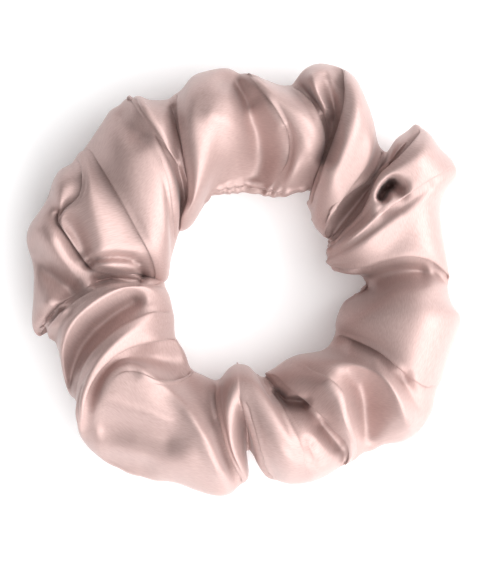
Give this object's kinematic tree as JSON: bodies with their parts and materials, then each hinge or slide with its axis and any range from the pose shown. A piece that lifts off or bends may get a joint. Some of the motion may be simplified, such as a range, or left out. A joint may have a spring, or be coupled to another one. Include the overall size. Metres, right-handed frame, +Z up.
{
  "type": "scrunchie",
  "caption": "Puffy hair scrunchie: a gathered satin sleeve in deep soft folds over a hidden elastic ring that stretches.",
  "frame": {"origin": "under the centre of the loop, on the surface that the scrunchie lies on", "axes": "+Z up along the loop's axis; +X towards the end that is pulled; -Y towards the closing seam"},
  "size_m": [0.11, 0.11, 0.0318],
  "materials": {
    "satin": "satin weave with a soft sheen",
    "elastic": "braided",
    "thread": "twisted polyester"
  },
  "bodies": {
    "held_end": {"sleeve_held_end": "satin", "elastic_held_end": "elastic", "seam_thread_held_end": "thread"},
    "sides_1": {"sleeve_upper_1": "satin", "sleeve_lower_1": "satin", "elastic_upper_1": "elastic", "elastic_lower_1": "elastic", "seam_thread_upper_1": "thread", "seam_thread_lower_1": "thread"},
    "sides_2": {"sleeve_upper_2": "satin", "sleeve_lower_2": "satin", "elastic_upper_2": "elastic", "elastic_lower_2": "elastic", "seam_thread_upper_2": "thread", "seam_thread_lower_2": "thread"},
    "sides_3": {"sleeve_upper_3": "satin", "sleeve_lower_3": "satin", "elastic_upper_3": "elastic", "elastic_lower_3": "elastic", "seam_thread_upper_3": "thread", "seam_thread_lower_3": "thread", "closing_thread": "thread", "elastic_lap_thread": "thread"},
    "sides_4": {"sleeve_upper_4": "satin", "sleeve_lower_4": "satin", "elastic_upper_4": "elastic", "elastic_lower_4": "elastic", "seam_thread_upper_4": "thread", "seam_thread_lower_4": "thread"},
    "sides_5": {"sleeve_upper_5": "satin", "sleeve_lower_5": "satin", "elastic_upper_5": "elastic", "elastic_lower_5": "elastic", "seam_thread_upper_5": "thread", "seam_thread_lower_5": "thread"},
    "pulled_end": {"sleeve_pulled_end": "satin", "elastic_pulled_end": "elastic", "seam_thread_pulled_end": "thread"}
  },
  "joints": [
    {"name": "stretch", "type": "slide", "parent": "held_end", "child": "pulled_end", "axis": [1, 0, 0], "range_m": [0, 0.07], "stiffness_N_per_m": 100},
    {"name": "follow_1", "type": "slide", "parent": "held_end", "child": "sides_1", "axis": [1, 0, 0], "range_m": [0, 0.00195]},
    {"name": "follow_2", "type": "slide", "parent": "held_end", "child": "sides_2", "axis": [1, 0, 0], "range_m": [0, 0.01246]},
    {"name": "follow_3", "type": "slide", "parent": "held_end", "child": "sides_3", "axis": [1, 0, 0], "range_m": [0, 0.03501]},
    {"name": "follow_4", "type": "slide", "parent": "held_end", "child": "sides_4", "axis": [1, 0, 0], "range_m": [0, 0.05756]},
    {"name": "follow_5", "type": "slide", "parent": "held_end", "child": "sides_5", "axis": [1, 0, 0], "range_m": [0, 0.06807]}
  ],
  "couplings": [
    {"joint": "follow_1", "follows": "stretch", "ratio": 0.0277},
    {"joint": "follow_2", "follows": "stretch", "ratio": 0.1779},
    {"joint": "follow_3", "follows": "stretch", "ratio": 0.5},
    {"joint": "follow_4", "follows": "stretch", "ratio": 0.8221},
    {"joint": "follow_5", "follows": "stretch", "ratio": 0.9723}
  ]
}
